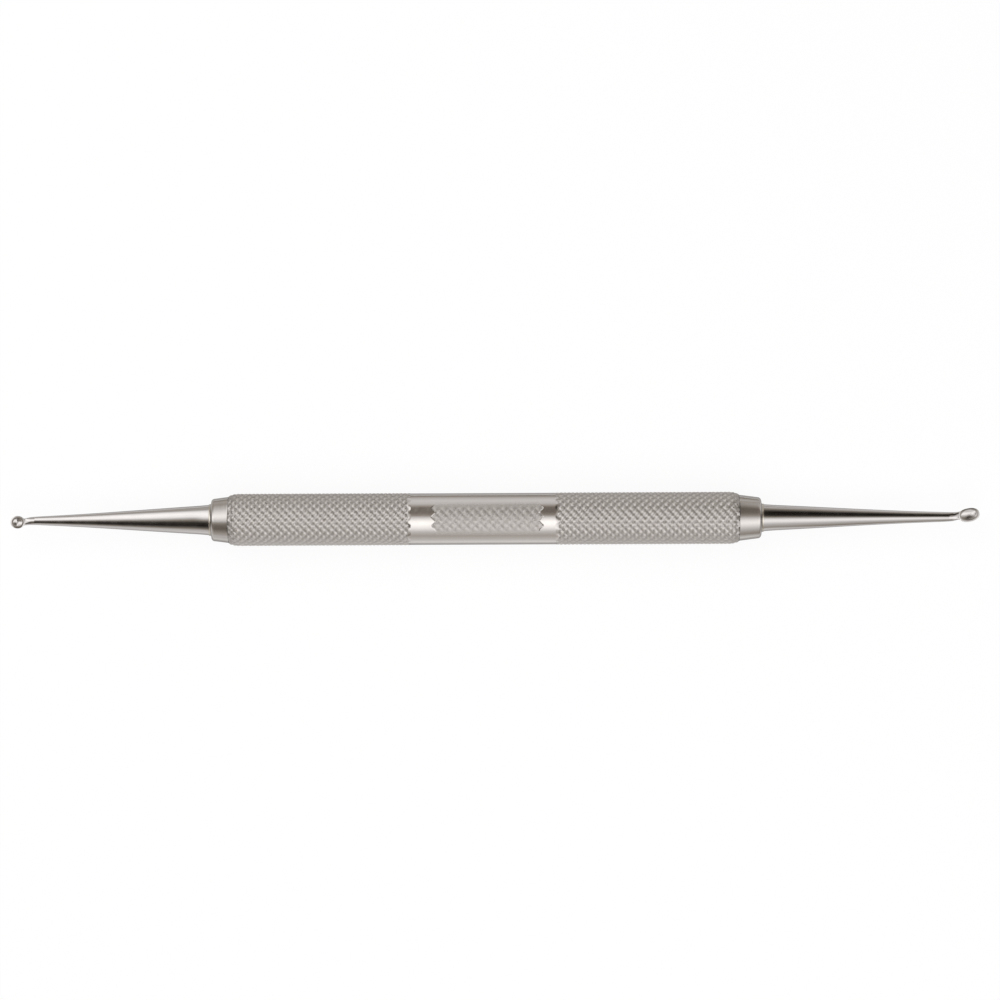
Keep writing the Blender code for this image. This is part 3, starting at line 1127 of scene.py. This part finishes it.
def add_lamp(name, side, x):
    """A square lamp that stands above one side of the tool and shines down on it."""
    data = bpy.data.lights.new(name, "AREA")
    data.shape = "SQUARE"
    data.size = lamp_size
    data.energy = math.pi * lamp_radiance * lamp_size ** 2
    lamp = bpy.data.objects.new(name, data)
    bpy.context.scene.collection.objects.link(lamp)
    turned = Matrix.Rotation(-side * lamp_lean, 4, "X")
    away = Matrix.Translation((0, 0, lamp_distance))
    lamp.matrix_world = Matrix.Translation((x, 0, 0)) @ turned @ away
    lamp.visible_camera = False
    lamp.visible_glossy = False


add_lamp("front_lamp", FRONT, front_lamp_x)
add_lamp("back_lamp", BACK, back_lamp_x)
print(f"two lamps, {lamp_distance} m from the tool")

# %% [markdown]
# ## Floor and background
# The floor is a white sheet that shines a little by itself, so it shows as pure white and still
# takes the tool's soft shadow. The background is white for the camera and in reflections.

# %% Floor and world
floor_size = 6.0
floor_glow = 0.885
floor_white = 0.14
ambient_light = 0.4


def make_floor():
    bm = bmesh.new()
    bmesh.ops.create_grid(bm, x_segments=1, y_segments=1, size=floor_size / 2)
    mesh = bpy.data.meshes.new("floor")
    bm.to_mesh(mesh)
    bm.free()
    sheet = bpy.data.materials.new("white_sheet")
    sheet.use_nodes = True
    shader = sheet.node_tree.nodes["Principled BSDF"]
    shader.inputs["Base Color"].default_value = (floor_white, floor_white, floor_white, 1)
    shader.inputs["Roughness"].default_value = 1.0
    shader.inputs["Specular IOR Level"].default_value = 0.0
    shader.inputs["Emission Color"].default_value = (1, 1, 1, 1)
    shader.inputs["Emission Strength"].default_value = floor_glow
    mesh.materials.append(sheet)
    floor = bpy.data.objects.new("floor", mesh)
    bpy.context.scene.collection.objects.link(floor)
    floor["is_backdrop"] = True


def light_world():
    world = bpy.data.worlds.new("studio")
    bpy.context.scene.world = world
    world.use_nodes = True
    nodes = world.node_tree.nodes
    links = world.node_tree.links
    path = nodes.new("ShaderNodeLightPath")
    seen = nodes.new("ShaderNodeMath")
    seen.operation = "ADD"
    links.new(path.outputs["Is Camera Ray"], seen.inputs[0])
    links.new(path.outputs["Is Glossy Ray"], seen.inputs[1])
    seen_all = nodes.new("ShaderNodeMath")
    seen_all.operation = "ADD"
    seen_all.use_clamp = True
    links.new(seen.outputs["Value"], seen_all.inputs[0])
    links.new(path.outputs["Is Transmission Ray"], seen_all.inputs[1])
    strength = nodes.new("ShaderNodeMapRange")
    strength.inputs["To Min"].default_value = ambient_light
    strength.inputs["To Max"].default_value = 1.0
    links.new(seen_all.outputs["Value"], strength.inputs["Value"])
    background = nodes["Background"]
    background.inputs["Color"].default_value = (1, 1, 1, 1)
    links.new(strength.outputs["Result"], background.inputs["Strength"])


make_floor()
light_world()
print("studio ready")

# %% Print the sizes and finish
new_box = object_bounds()
sizes = {"cad": [list(corner) for corner in cad_box], "visual": [list(corner) for corner in new_box]}
for label, (low, high) in sizes.items():
    print(label, [round((b - a) / MM, 3) for a, b in zip(low, high)], "mm")
